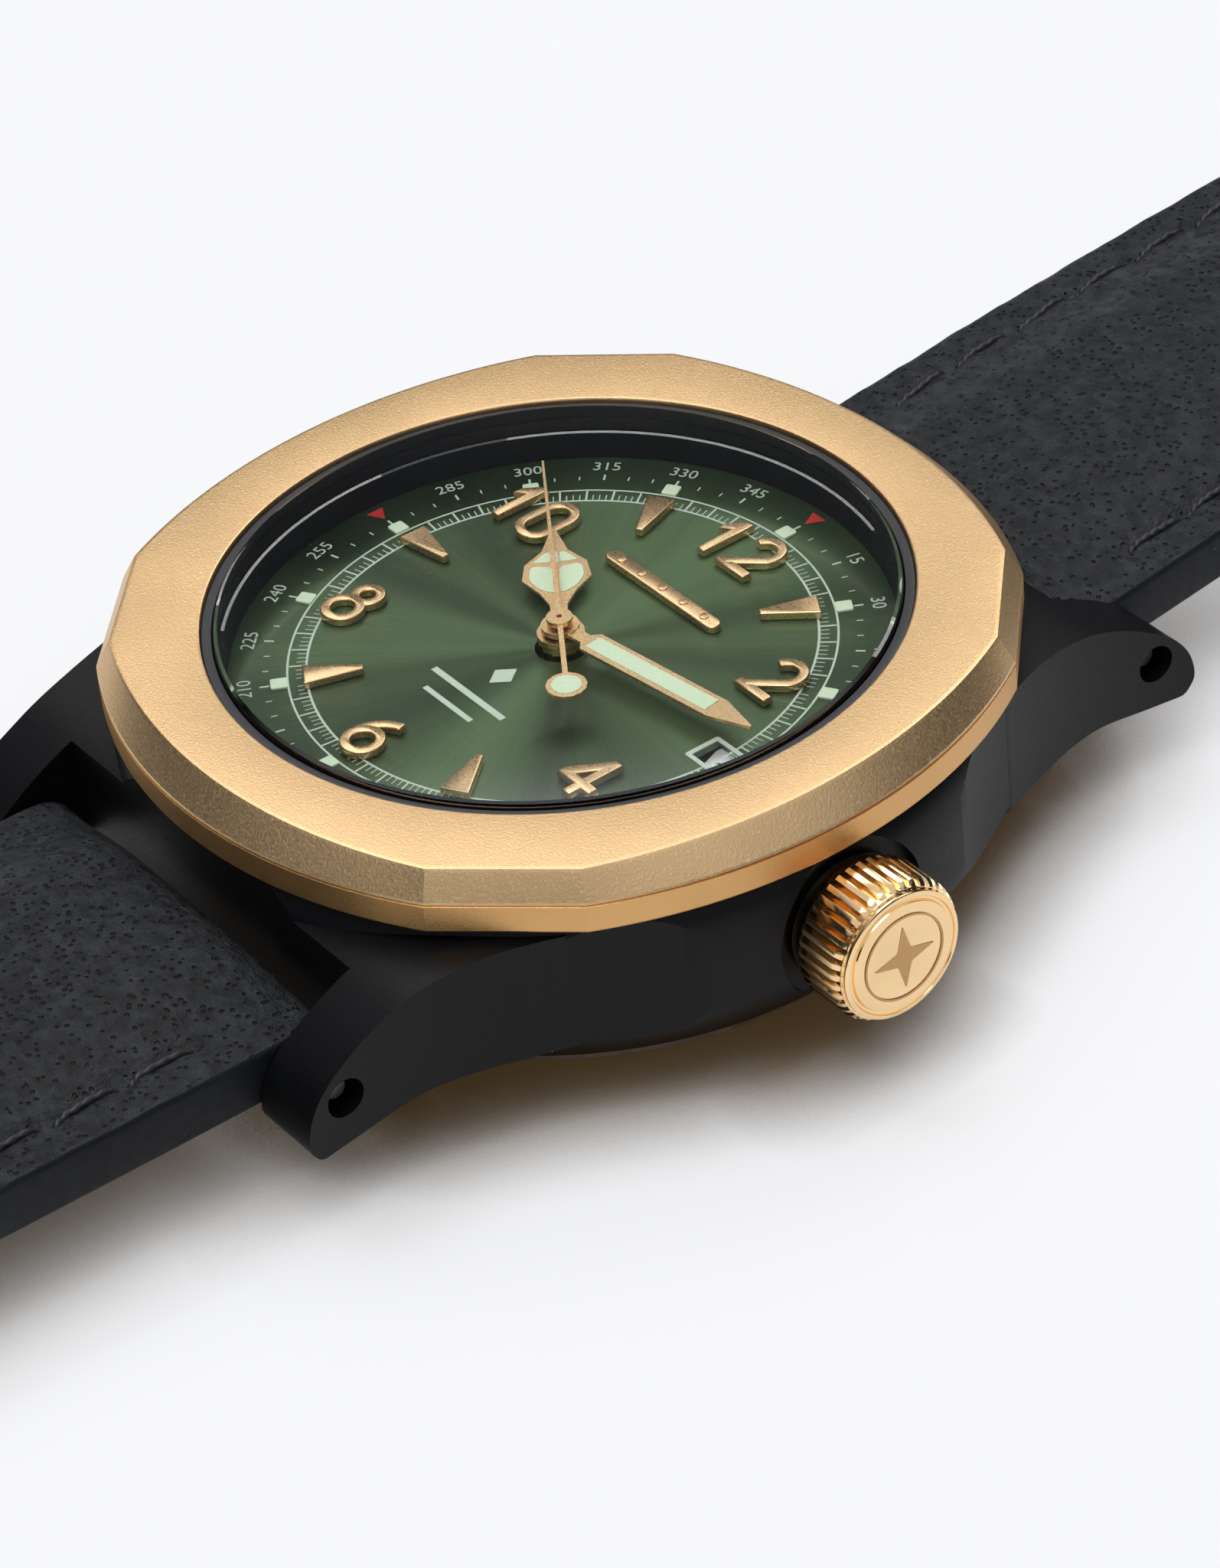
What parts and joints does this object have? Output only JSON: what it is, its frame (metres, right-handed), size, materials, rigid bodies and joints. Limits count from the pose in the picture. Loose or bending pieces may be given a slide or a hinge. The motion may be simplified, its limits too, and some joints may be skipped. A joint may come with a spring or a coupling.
{
  "type": "wristwatch",
  "caption": "Automatic wristwatch with a faceted fixed bezel, applied numerals, date window, push-pull crown and a two-piece leather strap with a pin buckle, laid out flat.",
  "frame": {"origin": "centre of the case back's flat face, which rests on the table", "axes": "+X towards the crown at 3 o'clock, +Y towards 12 o'clock along the strap, +Z out of the dial"},
  "size_m": [0.0406, 0.245, 0.0124],
  "materials": {
    "case_black": "bead-blasted black coating over steel",
    "bezel_gold": "bead-blasted gold-tone coating over steel",
    "crown_gold": "polished gold-tone plating over steel",
    "sapphire": "clear, coated underneath",
    "gasket_rubber": "moulded black rubber",
    "flange_black": "matt black lacquer",
    "dial_green": "sun-brushed brass under green lacquer",
    "marker_gold": "polished gold-tone plating",
    "hand_gold": "polished gold-tone plating",
    "steel": "brushed stainless steel",
    "movement_plate": "nickel-plated, grained",
    "wheel_brass": "cut brass, polished",
    "date_white": "matt white lacquer",
    "holder_plastic": "moulded",
    "leather_black": "pebbled black calf with painted edges and tonal stitching",
    "buckle_black": "bead-blasted black coating over steel"
  },
  "bodies": {
    "case": {"mid_case": "case_black", "bezel": "bezel_gold", "crystal": "sapphire", "crystal_gasket": "gasket_rubber", "inner_flange": "flange_black", "case_back": "steel", "case_back_gasket": "gasket_rubber", "crown_tube": "steel", "movement_ring": "holder_plastic", "dial": "dial_green", "main_plate": "movement_plate", "train_bridge": "movement_plate", "balance_cock": "movement_plate", "rotor_bearing": "steel", "spring_bar_12": "steel", "spring_bar_6": "steel", "numeral_10_tens": "marker_gold", "numeral_10_units": "marker_gold", "numeral_12_tens": "marker_gold", "numeral_12_units": "marker_gold", "numeral_2": "marker_gold", "numeral_4": "marker_gold", "numeral_6": "marker_gold", "numeral_8": "marker_gold", "wedge_1": "marker_gold", "wedge_5": "marker_gold", "wedge_7": "marker_gold", "wedge_9": "marker_gold", "wedge_11": "marker_gold", "emblem_bar": "marker_gold"},
    "seconds_train": {"seconds_hand": "hand_gold", "fourth_wheel": "wheel_brass"},
    "minutes_train": {"minute_hand": "hand_gold", "cannon_pinion": "steel", "center_wheel": "wheel_brass"},
    "hours_train": {"hour_hand": "hand_gold", "hour_wheel": "wheel_brass"},
    "third_train": {"third_wheel": "wheel_brass"},
    "escape_train": {"escape_wheel": "steel"},
    "minute_work": {"minute_wheel": "wheel_brass"},
    "mainspring_barrel": {"barrel": "wheel_brass"},
    "pallets": {"pallet_fork": "steel"},
    "balance": {"balance_wheel": "wheel_brass", "hairspring": "steel"},
    "date_disc": {"date_ring": "date_white"},
    "winding_weight": {"rotor": "steel"},
    "setting": {"setting_lever": "steel"},
    "crown_and_stem": {"crown": "crown_gold", "crown_gasket": "gasket_rubber", "stem": "steel", "clutch_wheel": "steel"},
    "short_strap": {"strap_12": "leather_black", "buckle_bar": "steel", "fixed_keeper": "leather_black"},
    "long_strap": {"strap_6": "leather_black"},
    "buckle": {"buckle_frame": "buckle_black"},
    "tongue": {"buckle_tongue": "buckle_black"},
    "sliding_keeper": {"free_keeper": "leather_black"}
  },
  "joints": [
    {"name": "seconds_turn", "type": "hinge", "parent": "case", "child": "seconds_train", "pos_m": [0, 0, 0], "axis": [0, 0, -1], "continuous": true},
    {"name": "minutes_turn", "type": "hinge", "parent": "case", "child": "minutes_train", "pos_m": [0, 0, 0], "axis": [0, 0, -1], "continuous": true},
    {"name": "hours_turn", "type": "hinge", "parent": "case", "child": "hours_train", "pos_m": [0, 0, 0], "axis": [0, 0, -1], "continuous": true},
    {"name": "third_turn", "type": "hinge", "parent": "case", "child": "third_train", "pos_m": [-0.00435, -0.00116, 0], "axis": [0, 0, -1], "continuous": true},
    {"name": "escape_turn", "type": "hinge", "parent": "case", "child": "escape_train", "pos_m": [0.00285, -0.0034, 0], "axis": [0, 0, -1], "continuous": true},
    {"name": "minute_wheel_turn", "type": "hinge", "parent": "case", "child": "minute_work", "pos_m": [-0.00231, 0.00276, 0], "axis": [0, 0, -1], "continuous": true},
    {"name": "barrel_turn", "type": "hinge", "parent": "case", "child": "mainspring_barrel", "pos_m": [0.00281, 0.00487, 0], "axis": [0, 0, -1], "continuous": true},
    {"name": "pallet_rock", "type": "hinge", "parent": "case", "child": "pallets", "pos_m": [0.00443, -0.00528, 0], "axis": [0, 0, -1], "range_deg": [-4, 4]},
    {"name": "balance_swing", "type": "hinge", "parent": "case", "child": "balance", "pos_m": [0.0054, -0.00643, 0], "axis": [0, 0, -1], "range_deg": [-270, 270]},
    {"name": "date_turn", "type": "hinge", "parent": "case", "child": "date_disc", "pos_m": [0, 0, 0], "axis": [0, 0, -1], "continuous": true},
    {"name": "rotor_turn", "type": "hinge", "parent": "case", "child": "winding_weight", "pos_m": [0, 0, 0], "axis": [0, 0, -1], "continuous": true},
    {"name": "crown_pull", "type": "slide", "parent": "case", "child": "setting", "axis": [1, 0, 0], "range_m": [0, 0.0013]},
    {"name": "crown_turn", "type": "hinge", "parent": "setting", "child": "crown_and_stem", "pos_m": [0, 0, 0.00633], "axis": [1, 0, 0], "continuous": true},
    {"name": "short_strap_fold", "type": "hinge", "parent": "case", "child": "short_strap", "pos_m": [0, 0.02045, 0.00555], "axis": [1, 0, 0], "range_deg": [-80, 40]},
    {"name": "long_strap_fold", "type": "hinge", "parent": "case", "child": "long_strap", "pos_m": [0, -0.02045, 0.00555], "axis": [-1, 0, 0], "range_deg": [-80, 40]},
    {"name": "buckle_swing", "type": "hinge", "parent": "short_strap", "child": "buckle", "pos_m": [0, 0.09545, 0.0026], "axis": [1, 0, 0], "range_deg": [-50, 30]},
    {"name": "tongue_swing", "type": "hinge", "parent": "buckle", "child": "tongue", "pos_m": [0, 0.09545, 0.0026], "axis": [1, 0, 0], "range_deg": [0, 80]},
    {"name": "keeper_slide", "type": "slide", "parent": "short_strap", "child": "sliding_keeper", "axis": [0, 0.9478, -0.3188], "range_m": [-0.006, 0.006]}
  ],
  "couplings": [
    {"joint": "minutes_turn", "follows": "seconds_turn", "ratio": 0.016667},
    {"joint": "hours_turn", "follows": "seconds_turn", "ratio": 0.0013889},
    {"joint": "third_turn", "follows": "seconds_turn", "ratio": -0.13333},
    {"joint": "escape_turn", "follows": "seconds_turn", "ratio": -12},
    {"joint": "minute_wheel_turn", "follows": "seconds_turn", "ratio": -0.0055556},
    {"joint": "barrel_turn", "follows": "seconds_turn", "ratio": -0.0020833}
  ]
}
